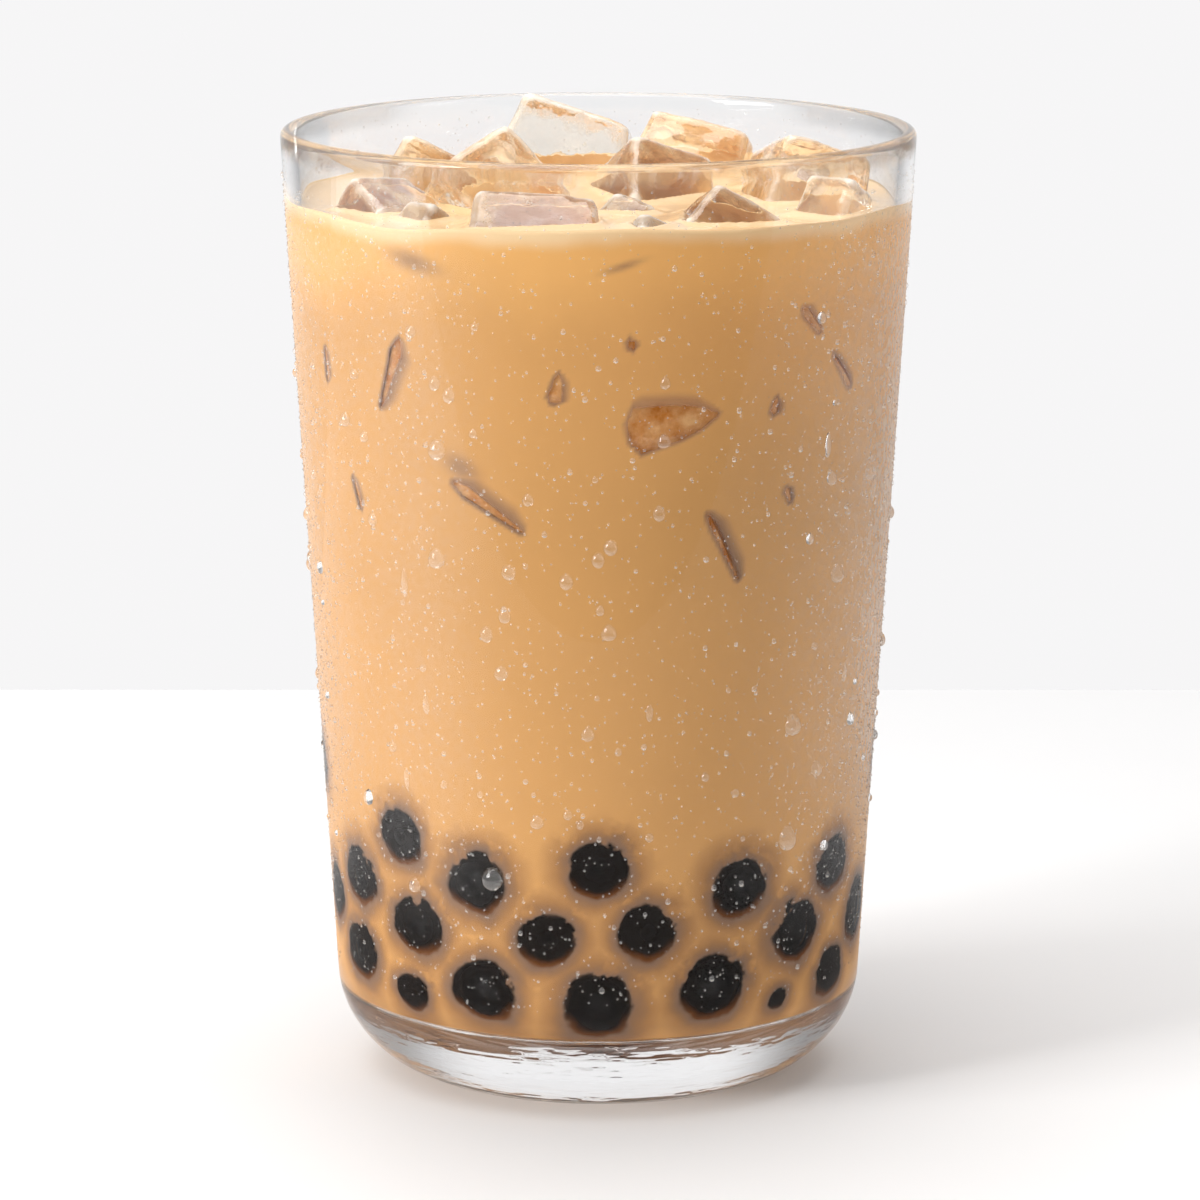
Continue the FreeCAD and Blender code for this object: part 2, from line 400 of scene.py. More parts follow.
def clearGlassMaterial():
    material, tree = newMaterial("clearGlass")
    grain = addRange(tree, addNoise(tree, 900, 1), 0.35, 0.65, 0.6, 1.0, smooth=True)
    veil = addMath(tree, "MULTIPLY", addAttribute(tree, "misted"), grain)
    height = addPlace(tree)[2]
    low = addRange(tree, height, glassLook["streaksTo"] * mm, glassLook["streaksFrom"] * mm)
    streaks = addMath(tree, "MULTIPLY", addNoise(tree, 55, 3, 0.6, (1, 1, 5)), low)
    solid = addSurface(tree, {
        "Base Color": (1, 1, 1, 1), "Roughness": 0.0, "IOR": 1.5, "Transmission Weight": 1.0,
        "Normal": addBump(tree, streaks, 0.4, 1.0)})
    clear = addShader(tree, "Transparent", {"Color": (0.97, 0.98, 0.98, 1)})
    rim = addRange(tree, height, glassLook["rimFrom"] * mm, glassLook["rimTo"] * mm,
                   0.0, glassLook["rimClearness"], smooth=True)
    glass = addShaderMix(tree, rim, solid, clear)
    # a lit wall in front of dark pearls hardly mirrors the room
    bare = addShader(tree, "Refraction", {"Roughness": 0.0, "IOR": 1.5})
    calm = addMath(tree, "MULTIPLY", addAttribute(tree, "calm"), glassLook["calmness"])
    wall = addShaderMix(tree, calm, glass, bare)
    haze = addShader(tree, "Diffuse", {"Color": glassLook["mistColour"]})
    amount = addMath(tree, "MULTIPLY", veil, glassLook["mistWhiteness"])
    addOutput(tree, letLampsThrough(tree, addShaderMix(tree, amount, wall, haze)))
    return material


def wettedGlassMaterial():
    # the inside below the tea's surface, where glass and drink meet with nothing between
    material, tree = newMaterial("wettedGlass")
    addOutput(tree, addShader(tree, "Transparent"))
    return material


def makeTumbler():
    rimRound = tumbler["rimWall"] * 0.48
    top = tumbler["height"]
    innerTop = tumbler["rimRadius"] - tumbler["rimWall"]
    corners = [
        (0, tumbler["hollow"], 0),
        (tumbler["hollowRadius"], 0, 40),
        (tumbler["baseRadius"] - tumbler["heelInset"], 0, tumbler["heelRoundLow"]),
        (outerRadius(tumbler["heelHeight"]), tumbler["heelHeight"], tumbler["heelRoundHigh"]),
        (tumbler["rimRadius"], top, rimRound),
        (innerTop, top, rimRound),
        (innerRadius(tumbler["floor"]), tumbler["floor"], tumbler["floorRound"]),
        (0, tumbler["floor"], 0),
    ]
    points = outline(corners, 1.5)
    corners, faces, faceRing = spin(points, tumbler["segments"])
    innerStart = max(range(len(points)), key=lambda i: points[i].y)
    angle = np.radians(bearingsOf(corners))
    reach = np.hypot(corners[:, 0], corners[:, 1])
    height = corners[:, 2]
    # pressing leaves faint ridges round the heel
    heel = np.clip((9 - height) / 6, 0, 1) * np.clip((reach - 10) / 10, 0, 1)
    ridges = 0.02 * np.sin(9 * angle + 0.6 * np.sin(4 * angle)) + 0.015 * np.sin(23 * angle + height)
    # the wall strays a little from round, as pressed glass does
    stray = np.sin(3 * angle + height / 31) + 0.6 * np.sin(5 * angle - height / 17 + 1.0)
    scale = 1 + (tumbler["waviness"] * stray - np.abs(heel * ridges)) / np.maximum(reach, 8)
    corners[:, 0] *= scale
    corners[:, 1] *= scale
    # so does the upper side of the thick floor
    onFloor = np.abs(height - tumbler["floor"]) < 2.5
    inside = np.zeros(len(corners), bool)
    for face, row in zip(faces, faceRing):
        if row >= innerStart:
            inside[face] = True
    lift = np.sin(corners[:, 0] / 3.1) * np.sin(corners[:, 1] / 2.7 + 0.7)
    lift += 0.5 * np.sin(corners[:, 0] / 1.3 + 2)
    fade = np.clip((innerRadius(0) - 2 - reach) / 8, 0, 1)
    corners[:, 2] += np.where(onFloor & inside, tumbler["floorWaviness"] * lift * fade, 0)
    piece = makeMesh("tumbler", corners, faces)
    paintCorners(piece, "misted", foggedAt(bearingsOf(corners), height) * ~inside)
    calm = np.clip((height - 10) / 6, 0, 1) * np.clip((teaLevel + 1 - height) / 3, 0, 1) * ~inside
    paintCorners(piece, "calm", calm)
    piece.data.materials.append(clearGlassMaterial())
    piece.data.materials.append(wettedGlassMaterial())
    wetted = []
    for row in faceRing:
        wetted.append(1 if row >= innerStart and points[row].y <= teaLevel + 0.3 else 0)
    piece.data.polygons.foreach_set("material_index", wetted)
    finishPiece(piece, "glass", "glass")


makeTumbler()
print("tumbler made")

# ---- tapioca pearls

pearlLook = {
    "unevenness": 0.02,   # share of the size
    "detail": 3,
    "dark": linear(15, 10, 8),
    # edge: painted light, the amber of light shining through a pearl's rim
    "edge": linear(96, 54, 22),
}


def pearlMaterial():
    material, tree = newMaterial("tapioca")
    # painted light: the colour turns amber towards the outline, as if light shone through the pearl's rim
    rim = addRange(tree, addFacing(tree, 0.35), 0.35, 0.95, smooth=True)
    cloud = addRange(tree, addNoise(tree, 320, 3), 0.35, 0.75)
    amber = addMath(tree, "MULTIPLY", rim, addMath(tree, "MULTIPLY_ADD", cloud, 0.8), clamp=True)
    colour = addMix(tree, amber, pearlLook["dark"], pearlLook["edge"])
    skin = addBump(tree, addNoise(tree, 700, 2), 0.15, 0.1)
    inputs = {
        "Base Color": colour, "Roughness": 0.3, "IOR": 1.36, "Normal": skin,
        "Specular IOR Level": 0.25, "Coat Weight": 0.05, "Coat Roughness": 0.04,
    }
    addOutput(tree, addSurface(tree, inputs))
    return material


def makePearls():
    material = pearlMaterial()
    pearls = []
    for name in sorted(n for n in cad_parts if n.startswith("pearl_")):
        low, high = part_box(name)
        middle, half = (low + high) / 2 / mm, (high - low) / 2 / mm
        ball = bmesh.new()
        bmesh.ops.create_icosphere(ball, subdivisions=pearlLook["detail"], radius=1.0)
        seed = Vector((middle.x * 7.1, middle.y * 5.3, middle.z * 3.7))
        for corner in ball.verts:
            direction = corner.co.normalized()
            bulge = 1 - pearlLook["unevenness"] * (1 + noise.noise(direction * 1.3 + seed))
            place = Vector([d * h * bulge for d, h in zip(direction, half)])
            corner.co = (middle + place) * mm
        mesh = bpy.data.meshes.new(name.replace("pearl", "tapioca"))
        ball.to_mesh(mesh)
        ball.free()
        smoothFaces(mesh)
        mesh.materials.append(material)
        piece = placeInScene(mesh.name, mesh)
        finishPiece(piece, "tapioca", name)
        pearls.append(piece)
    return pearls


pearls = makePearls()
print(len(pearls), "pearls made")

# ---- ice that floats at the top

floatingIce = {
    "grain": 0.55,      # size of the melted surface's facets
    "softening": 3,
    "dents": 0.55,      # how deep the melt has eaten
    "dentSize": 7.0,
    "ripple": 0.16,
    "rippleSize": 2.2,
    "clearColour": (1.0, 0.985, 0.93, 1),
    "milkyColour": linear(244, 214, 168),
    "edgeColour": linear(255, 252, 246),    # painted highlight along the sharp edges
    # glowColour and glow: a painted glow given off by the milky parts of the ice
    "glowColour": linear(255, 226, 180),
    "glow": 0.06,
}


def iceMaterial():
    material, tree = newMaterial("wetIce")
    cloud = addRange(tree, addNoise(tree, 120, 5, 0.65, (1, 1, 0.5)), 0.44, 0.66, 0.03, 0.42, smooth=True)
    # painted highlights: the sharp edges turn cloudy and near white
    highlightedEdges = addNode(tree, "ShaderNodeNewGeometry").outputs["Pointiness"]
    edges = addRange(tree, highlightedEdges, 0.503, 0.55, 0.0, 0.75, smooth=True)
    cloudiness = addMath(tree, "MAXIMUM", cloud, edges)
    ripple = addBump(tree, addNoise(tree, 210, 3), 0.8, 0.7)
    clear = addSurface(tree, {
        "Base Color": floatingIce["clearColour"], "Roughness": 0.02, "IOR": 1.31,
        "Transmission Weight": 1.0, "Coat Weight": 1.0, "Coat IOR": 1.6, "Coat Roughness": 0.02,
        "Normal": ripple})
    # the milky parts carry a painted glow
    milky = addSurface(tree, {
        "Base Color": addMix(tree, edges, floatingIce["milkyColour"], floatingIce["edgeColour"]),
        "Roughness": 0.1, "IOR": 1.31, "Normal": ripple,
        "Emission Color": floatingIce["glowColour"], "Emission Strength": floatingIce["glow"]})
    mixed = addShaderMix(tree, cloudiness, clear, milky)
    addOutput(tree, letLampsThrough(tree, mixed, (0.99, 0.97, 0.94, 1)))
    return material


def meltBlock(node, seed):
    # a copy of a CAD block with melted, dented faces
    copy = placeInScene("block", node.data.copy())
    remesh = copy.modifiers.new("remesh", "REMESH")
    remesh.mode = "VOXEL"
    remesh.voxel_size = floatingIce["grain"] * mm
    soften = copy.modifiers.new("soften", "SMOOTH")
    soften.factor = 0.5
    soften.iterations = floatingIce["softening"]
    melted = bakedMesh(copy)
    bpy.data.objects.remove(copy)
    places, normals = cornersOf(melted), normalsOf(melted)
    dent = np.clip(noiseAt(places, floatingIce["dentSize"], seed), 0, 1) * floatingIce["dents"]
    ripple = noiseAt(places, floatingIce["rippleSize"], seed + 40) * floatingIce["ripple"]
    moveCorners(melted, places - normals * (dent + ripple)[:, None])
    smoothFaces(melted)
    return melted


def makeFloatingIce():
    material = iceMaterial()
    blocks = []
    names = sorted(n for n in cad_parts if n.startswith("ice_"))
    for index, name in enumerate(names):
        mesh = meltBlock(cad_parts[name], index + 1)
        mesh.name = name.replace("ice_", "block_")
        mesh.materials.clear()
        mesh.materials.append(material)
        piece = placeInScene(mesh.name, mesh)
        finishPiece(piece, "ice", name)
        blocks.append(piece)
    return blocks


floatingBlocks = makeFloatingIce()
print(len(floatingBlocks), "ice blocks made")

# ---- ice that is sunk in the tea and only shows where it touches the glass

sunkenIce = {
    # Each: bearing and height of the middle of the edge that lies against the glass, its lean from
    # upright, its length, how wide it shows at its upper and at its lower end, and how far the shade
    # beside it reaches (to the right, or to the left where it is negative).
    "blocks": [
        (-43.0, 103.5, -22, 10.5, 1.5, 0.25, 3.0),
        (-7.8, 103.0, -10, 3.9, 0.7, 1.6, 1.6),
        (-22.0, 86.3, 57, 11.5, 1.2, 0.25, 3.0),
        (14.5, 98.0, -80, 12.0, 2.6, 6.0, -2.6),
        (25.0, 80.8, 27, 10.5, 0.6, 0.3, 2.6),
        (-54.5, 86.0, 20, 4.4, 0.35, 0.5, 1.4),
        (43.5, 110.6, 44, 5.0, 1.1, 0.6, 1.6),
        (53.0, 103.0, 40, 6.5, 0.3, 0.8, 1.6),
        (39.8, 87.0, 24, 2.4, 0.8, 0.35, 1.2),
        (35.5, 99.5, -14, 2.2, 0.5, 0.9, 1.8),
        (-63.0, 103.0, 4, 4.5, 0.4, 0.6, 1.5),
        (6.2, 109.0, 10, 1.4, 0.8, 0.8, 0.8),
    ],
    # seen faintly, with tea in front: bearing, height, lean, length, width
    "faint": [(-36, 119.0, 78, 12.0, 4.0), (4.5, 119.4, -72, 8.0, 1.6), (-27, 91.5, 62, 8.0, 4.5)],
    "depth": 10.0,
    "gap": 0.16,            # between the glass and the block's front
    # amber: the tea seen through clear ice, darkened as painted shade; glow: a painted glow
    "amber": linear(168, 98, 30),
    "cloudy": linear(208, 158, 106),
    "glow": 0.24,
}


def sunkenIceMaterial():
    material, tree = newMaterial("sunkenIce")
    cloud = addRange(tree, addNoise(tree, 330, 4, 0.6), 0.34, 0.7)
    colour = addMix(tree, cloud, sunkenIce["amber"], sunkenIce["cloudy"])
    # painted glow, over amber that is darkened as painted shade of the tea behind the ice
    addOutput(tree, addSurface(tree, {
        "Base Color": colour, "Roughness": 0.18, "IOR": 1.31, "Coat Weight": 0.4,
        "Emission Color": colour, "Emission Strength": sunkenIce["glow"],
        "Normal": addBump(tree, addNoise(tree, 420, 3), 0.7, 0.6)}))
    return material


def blockAxes(bearing, lean):
    # along the block's edge, across it on the wall, and inwards
    outward, side, up = wallAxes(bearing)
    turn = math.radians(lean)
    along = up * math.cos(turn) - side * math.sin(turn)
    across = side * math.cos(turn) + up * math.sin(turn)
    return along, across, -outward


def placesOnBlock(corners, bearing, height, lean):
    # where corners lie along a block's edge and across it, and how far from its middle
    along, across, _ = blockAxes(bearing, lean)
    wall = outerRadius(height) - innerRadius(height)
    away = corners - np.array(onWall(bearing, height, wall))
    return away @ np.array(along), away @ np.array(across), np.linalg.norm(away, axis=1)


def addSunkenBlock(mesh, block):
    # a wedge whose narrow front lies just behind the wall and which widens inwards
    bearing, height, lean, length, upper, lower, shade = block
    along, across, inward = blockAxes(bearing, lean)
    wall = outerRadius(height) - innerRadius(height) + sunkenIce["gap"]
    bow = length * length / 8 / innerRadius(height)
    start = onWall(bearing, height, wall) + inward * bow
    corners = []
    for depth, spread in ((0, 0.75), (sunkenIce["depth"], 1.6)):
        for end, width in ((0.55, upper), (-0.55, lower)):
            for s in (-1, 1):
                toShade = shade * 0.9 if s * shade > 0 else 0
                wide = s * width * spread + toShade * (depth > 0)
                place = start + along * end * length + across * wide + inward * depth
                corners.append(mesh.verts.new(place * mm))
    order = [(0, 1, 3, 2), (4, 6, 7, 5), (0, 4, 5, 1), (2, 3, 7, 6), (0, 2, 6, 4), (1, 5, 7, 3)]
    for loop in order:
        mesh.faces.new([corners[i] for i in loop])


def mirroredBlocks():
    # the far side holds the same blocks, the other way round
    near = sunkenIce["blocks"]
    return near + [(180 - b, h - 2, -n, e, u, w, -s) for b, h, n, e, u, w, s in near]


def makeSunkenIce():
    mesh = bmesh.new()
    for block in mirroredBlocks():
        addSunkenBlock(mesh, block)
    bmesh.ops.recalc_face_normals(mesh, faces=mesh.faces)
    bmesh.ops.bevel(mesh, geom=list(mesh.edges), offset=0.18 * mm, segments=2, profile=0.5, affect="EDGES")
    data = bpy.data.meshes.new("sunkenIce")
    mesh.to_mesh(data)
    mesh.free()
    smoothFaces(data)
    data.materials.append(sunkenIceMaterial())
    finishPiece(placeInScene("sunkenIce", data), "ice")


makeSunkenIce()
print("sunken ice made")

# ---- tea

tea = {
    "segments": 440,
    "wallSpacing": 0.5,
    "meniscus": 0.75,       # how far the tea climbs the glass
    "meniscusWidth": 1.3,
    "cling": 0.7,           # how far it climbs the ice
    "clingWidth": 1.0,
    "swell": 0.25,          # slow waves of the surface
    "coreInset": 4.6,       # the opaque inside of the drink starts this far from the wall
    "glow": 0.15,           # painted glow, for light that comes through the milk from above
    "glowFrom": 80.0,       # it sets in at this height and is full at the next
    "glowTo": 118.0,
    "glowColour": linear(232, 156, 84),
    "waves": 0.55,          # how unevenly its edge lies against the glass
    "colour": linear(219, 164, 102),
    "brightColour": linear(239, 181, 110),  # painted light just under the surface, where light comes in from above
    "edgeColour": linear(250, 216, 168),    # the thin edge that has crept up the glass
    "thinColour": linear(136, 108, 88),     # a thin skin of tea over a dark pearl, which also serves as painted shade round it
    "topColour": linear(244, 206, 156),
    "amongPearls": linear(164, 118, 76),    # tea shaded by the pearls round it
    "pearlColour": linear(20, 14, 11),      # where a pearl lies right against the glass
    # painted light shining through the foot of a pearl
    "pearlFootLit": linear(104, 60, 26),
    "iceShade": linear(172, 138, 114),
    "hollowDark": linear(206, 156, 96),     # against the floating ice
    "hollowLight": linear(226, 182, 128),
    # hollowGlow: a painted glow of the tea against the ice
    "hollowGlow": 0.05,
}


def teaColour(tree):
    # a little uneven, and with painted light towards the surface
    waves = addRange(tree, addNoise(tree, 34, 3), 0.3, 0.7, -4 * mm, 4 * mm)
    height = addMath(tree, "ADD", addPlace(tree)[2], waves)
    nearTop = addRange(tree, height, 108 * mm, 122 * mm, smooth=True)
    patchy = addRange(tree, addNoise(tree, 26, 3), 0.35, 0.7)
    darker = tuple(c * 0.93 for c in tea["colour"][:3]) + (1,)
    body = addMix(tree, nearTop, addMix(tree, patchy, tea["colour"], darker), tea["brightColour"])
    frayed = addRange(tree, addNoise(tree, 90, 2), 0.3, 0.7, -0.5, 0.5)
    uneven = addMath(tree, "ADD", addAttribute(tree, "belowEdge"), frayed)
    return addMix(tree, addRange(tree, uneven, 0.4, 2.9, smooth=True), tea["edgeColour"], body)


def teaMaterial():
    # opaque tea that thins out where a pearl or a block comes close to the glass
    material, tree = newMaterial("milkTea")
    names = ("overPearl", "overIce", "pearlHole", "pearlLow")
    overPearl, overIce, pearlHole, pearlLow = [addAttribute(tree, name) for name in names]
    # pearls show as dark discs with a ragged edge, smeared over at the top, with painted light
    # in amber at the foot and a painted soft shade all round
    ragged = addRange(tree, addNoise(tree, 420, 4, 0.6), 0.25, 0.75, -0.06, 0.06)
    lobed = addRange(tree, addNoise(tree, 190, 1), 0.3, 0.7, -0.07, 0.07)
    smear = addRange(tree, addNoise(tree, 260, 3, 0.6), 0.5, 0.66, 0.0, 0.26)
    smeared = addMath(tree, "MULTIPLY", smear, addRange(tree, pearlLow, 0.1, -0.35))
    strayed = addMath(tree, "ADD", ragged, addMath(tree, "ADD", lobed, smeared))
    edge = addMath(tree, "ADD", overPearl, strayed)
    crisp = addRange(tree, edge, 0.88, 1.0, 0.0, 0.45, smooth=True)
    soft = addRange(tree, addMath(tree, "ADD", edge, lobed), 0.86, 1.40, 0.0, 0.55, smooth=True)
    pearlCover = addMath(tree, "ADD", crisp, soft, clamp=True)
    # painted light: amber on the lower rim of a pearl
    amber = addMath(tree, "MULTIPLY", addRange(tree, edge, 0.68, 0.92, smooth=True),
                    addRange(tree, pearlLow, 0.2, 0.75))
    touching = addMix(tree, amber, tea["pearlColour"], tea["pearlFootLit"])
    shaded = addMix(tree, addRange(tree, pearlCover, 0.0, 0.55), touching, tea["thinColour"])
    thick = addMix(tree, addRange(tree, edge, 1.0, 2.0, smooth=True), tea["amongPearls"], teaColour(tree))
    colour = addMix(tree, addRange(tree, pearlCover, 0.5, 1.0), shaded, thick)
    hole = addRange(tree, addMath(tree, "ADD", pearlHole, ragged), 0.3, 0.95, smooth=True)
    # ice shows as a slit, sharp on one side and shaded on the other
    frayed = addMath(tree, "ADD", overIce, addMath(tree, "MULTIPLY", ragged, 0.5))
    slit = addRange(tree, frayed, 0.06, 0.20, 0.0, 0.56, smooth=True)
    shade = addRange(tree, overIce, 0.1, 1.0, 0.0, 0.44, smooth=True)
    iceCover = addMath(tree, "ADD", slit, shade, clamp=True)
    # painted shade beside the ice slits
    shadedBesideIce = addMix(tree, addRange(tree, iceCover, 0.5, 1.0), tea["iceShade"], colour)
    cover = addMath(tree, "MULTIPLY", hole, iceCover)
    # painted glow near the top, stronger on the side away from the key lamp, as if more light came through
    # there
    place = addPlace(tree)
    nearTop = addRange(tree, place[2], tea["glowFrom"] * mm, tea["glowTo"] * mm, smooth=True)
    awayFromLamp = addRange(tree, place[0], -24 * mm, 22 * mm, 0.1, 1.0, smooth=True)
    glow = addMath(tree, "MULTIPLY", addMath(tree, "MULTIPLY", nearTop, awayFromLamp), tea["glow"])
    addOutput(tree, addSurface(tree, {
        "Base Color": shadedBesideIce, "Roughness": 0.6, "IOR": 1.35, "Specular IOR Level": 0.0, "Alpha": cover,
        "Emission Color": tea["glowColour"], "Emission Strength": glow}))
    return material


def teaUnderMaterial():
    # against the thick floor the tea mirrors what lies below, unless it is seen straight on
    material, tree = newMaterial("teaUnderside")
    mirrored = addRange(tree, addFacing(tree), 0.25, 0.55, smooth=True)
    body = addSurface(tree, {"Base Color": tea["colour"], "Roughness": 0.6, "Specular IOR Level": 0.0})
    mirror = addShader(tree, "Anisotropic", {"Color": (0.97, 0.97, 0.97, 1), "Roughness": 0.02})
    addOutput(tree, addShaderMix(tree, mirrored, body, mirror))
    return material


def teaTopMaterial():
    material, tree = newMaterial("teaSurface")
    addOutput(tree, addSurface(tree, {
        "Base Color": tea["topColour"], "Roughness": 0.12, "IOR": 1.35,
        "Normal": addBump(tree, addNoise(tree, 160, 2), 0.2, 0.4)}))
    return material


def teaHollowMaterial():
    material, tree = newMaterial("teaAgainstIce")
    patchy = addRange(tree, addNoise(tree, 150, 2), 0.3, 0.7)
    glow = addMix(tree, patchy, tea["hollowDark"], tea["hollowLight"])
    # painted glow: the tea against the ice gives off its own colour
    addOutput(tree, addSurface(tree, {
        "Base Color": glow, "Roughness": 0.5, "IOR": 1.35, "Specular IOR Level": 0.0,
        "Emission Color": glow, "Emission Strength": tea["hollowGlow"]}))
    return material


def joinedTree(pieces):
    # one search tree over several meshes, in millimetres
    corners, faces = [], []
    for piece in pieces:
        start = len(corners)
        corners += [corner.co / mm for corner in piece.data.vertices]
        faces += [[start + i for i in face.vertices] for face in piece.data.polygons]
    return BVHTree.FromPolygons(corners, faces)


def makeTea():
    reach = drink["reachIntoWall"]
    bottom = tumbler["floor"] - reach
    topRadius = innerRadius(teaLevel) + reach
    corners = [
        (0, bottom, 0),
        (innerRadius(bottom) + reach, bottom, tumbler["floorRound"]),
        (topRadius, teaLevel, 0),
        (0, teaLevel, 0),
    ]
    points = outline(corners, tea["wallSpacing"])
    corners, faces, faceRing = spin(points, tea["segments"])
    top = max(i for i, p in enumerate(points) if p.x > topRadius - 0.01)
    wall = min(i for i, p in enumerate(points) if p.y > bottom + 0.6)
    piece = makeMesh("milkTea", corners, faces)
    slots = [1 if row >= top else 3 if row < wall else 0 for row in faceRing]
    piece.data.polygons.foreach_set("material_index", slots)
    for material in (teaMaterial(), teaTopMaterial(), teaHollowMaterial(), teaUnderMaterial()):
        piece.data.materials.append(material)
    raiseSurface(piece)
    return piece


def raiseSurface(piece):
    # the surface climbs the glass and the ice, and swells a little
    iceTree = joinedTree(floatingBlocks)
    corners = cornersOf(piece.data)
    reach = np.hypot(corners[:, 0], corners[:, 1])
    onTop = corners[:, 2] > teaLevel - 0.01
    edge = innerRadius(teaLevel) + drink["reachIntoWall"]
    gapToIce = np.full(len(corners), 50.0)
    for index in np.nonzero(onTop)[0]:
        hit = iceTree.find_nearest(Vector(corners[index]), 5.0)
        gapToIce[index] = 50.0 if hit[0] is None else hit[3]
    angle = np.radians(bearingsOf(corners))
    wave = np.sin(3 * angle + 0.8) + 0.7 * np.sin(5 * angle + 2.1) + 0.5 * np.sin(11 * angle + 0.4)
    wave = tea["waves"] * wave / 1.6
    climb = (tea["meniscus"] + wave) * np.exp(-(edge - reach) / tea["meniscusWidth"])
    climb += tea["cling"] * np.exp(-gapToIce / tea["clingWidth"])
    climb += tea["swell"] * np.sin(corners[:, 0] / 7.0 + 1.2) * np.sin(corners[:, 1] / 6.0)
    # the skin on the glass follows its upper edge
    below = np.clip(teaLevel - corners[:, 2], 0, None)
    follow = (tea["meniscus"] + wave) * np.exp(-below / 2.5)
    climb = np.where(onTop, climb, np.where(reach > edge - 3, follow, 0))
    corners[:, 2] += climb
    edgeHeight = teaLevel + tea["meniscus"] + wave
    onSkin = reach > innerRadius(teaLevel - 12) - 3
    paintCorners(piece, "belowEdge", np.where(onSkin, edgeHeight - corners[:, 2], 30))
    # it also keeps to the flare of the glass as it climbs
    flare = (innerRadius(100) - innerRadius(0)) / 100
    grow = 1 + climb * flare * (reach / edge) ** 20 / np.maximum(reach, 1)
    corners[:, 0] *= grow
    corners[:, 1] *= grow
    moveCorners(piece.data, corners)


def carveIce(piece):
    # hollows for the floating ice, a hair smaller than the blocks so that no gap shows
    shapes = bmesh.new()
    for block in floatingBlocks:
        copy = block.data.copy()
        moveCorners(copy, cornersOf(copy) - normalsOf(copy) * 0.05)
        shapes.from_mesh(copy)
        bpy.data.meshes.remove(copy)
    mesh = bpy.data.meshes.new("iceShapes")
    shapes.to_mesh(mesh)
    shapes.free()
    for face in mesh.polygons:
        face.material_index = 2
    for index in range(4):
        mesh.materials.append(piece.data.materials[index])
    cutter = placeInScene("iceShapes", mesh)
    cut = piece.modifiers.new("carve", "BOOLEAN")
    cut.operation = "DIFFERENCE"
    cut.solver = "MANIFOLD"
    cut.object = cutter
    carved = bakedMesh(piece)
    piece.modifiers.clear()
    piece.data = carved
    bpy.data.objects.remove(cutter)
    carved.name = "milkTea"


def coverOverPearls(corners):
    # cover: 0 over the middle of a pearl and 1 over its outline
    # hole: the same, larger for pearls that lie deeper
    # low: from -1 over its top to 1 over its foot
    cover = np.full(len(corners), 3.0)
    hole = np.full(len(corners), 3.0)
    low = np.zeros(len(corners))
    for pearl in pearls:
        shape = cornersOf(pearl.data)
        middle = (shape.min(axis=0) + shape.max(axis=0)) / 2
        radius = (shape.max(axis=0) - shape.min(axis=0)).mean() / 2
        gap = innerRadius(middle[2]) - math.hypot(middle[0], middle[1]) - radius
        away = corners - middle
        outward = middle * (1, 1, 0) / math.hypot(middle[0], middle[1])
        depth = away @ outward
        across = np.sqrt(np.clip((away ** 2).sum(axis=1) - depth ** 2, 0, None)) / radius
        across += np.clip(gap - 0.7, 0, None) * 0.16
        nearest = (depth > 0) & (across < cover)
        cover[nearest] = across[nearest]
        hole[nearest] = across[nearest] + max(gap - 0.5, 0) * 0.7
        low[nearest] = (middle[2] - corners[nearest, 2]) / radius
    return cover, hole, low


def coverOverIce(corners):
    # 0 where a sunken block touches the wall, 1 where the tea hides it
    cover = np.ones(len(corners))
    for bearing, height, lean, length, upper, lower, shade in mirroredBlocks():
        u, v, away = placesOnBlock(corners, bearing, height, lean)
        u = u / (length / 2)
        widths = (lower * 0.5, lower, (upper + lower) / 2, upper, 0.15)
        half = np.interp(u, (-1, -0.85, 0.1, 0.6, 1), widths) / 2
        past = np.abs(v) - half
        onShade = v * shade > 0
        reach = abs(shade) * np.interp(u, (-1.1, -0.6, 0.6, 1.1), (0.4, 1, 1, 0.4))
        side = np.where(onShade, past / reach, past / 0.8)
        end = (np.abs(u) - 1) * length / 2 / 0.9
        value = np.clip(np.maximum(side, 0) + np.maximum(end, 0), 0, 1)
        value = np.where(away < length + 6, value, 1)
        cover = np.minimum(cover, value)
    for bearing, height, lean, length, width in sunkenIce["faint"]:
        u, v, away = placesOnBlock(corners, bearing, height, lean)
        u, v = u / (length / 2), v / (width / 2)
        value = 1 - 0.55 * np.exp(-1.6 * (u * u + v * v))
        cover = np.where(away < length * 1.5, np.minimum(cover, value), cover)
    return cover


def paintCover(piece):
    # how well the tea's skin hides the pearls and the ice behind it
    corners = cornersOf(piece.data)
    for name, values in zip(("overPearl", "pearlHole", "pearlLow"), coverOverPearls(corners)):
        paintCorners(piece, name, values)
    paintCorners(piece, "overIce", coverOverIce(corners))


def makeTeaCore():
    # the drink's opaque inside, which stands behind the pearls
    inset = tea["coreInset"]
    low = tumbler["floor"] + 2.5
    high = teaLevel - 20
    corners = [
        (0, low, 0),
        (innerRadius(low) - inset, low, 4.0),
        (innerRadius(high) - inset, high, 2.0),
        (0, high, 0),
    ]
    corners, faces, _ = spin(outline(corners, 3.0), 96)
    piece = makeMesh("teaInside", corners, faces)
    material, tree = newMaterial("teaInside")
    addOutput(tree, addSurface(tree, {
        "Base Color": tea["colour"], "Roughness": 0.7, "Specular IOR Level": 0.0}))
    piece.data.materials.append(material)
    finishPiece(piece, "tea")


milkTea = makeTea()
carveIce(milkTea)
paintCover(milkTea)
finishPiece(milkTea, "tea", "tea")
makeTeaCore()
print("tea poured,", len(milkTea.data.polygons), "faces")

# ---- water on the outside of the glass

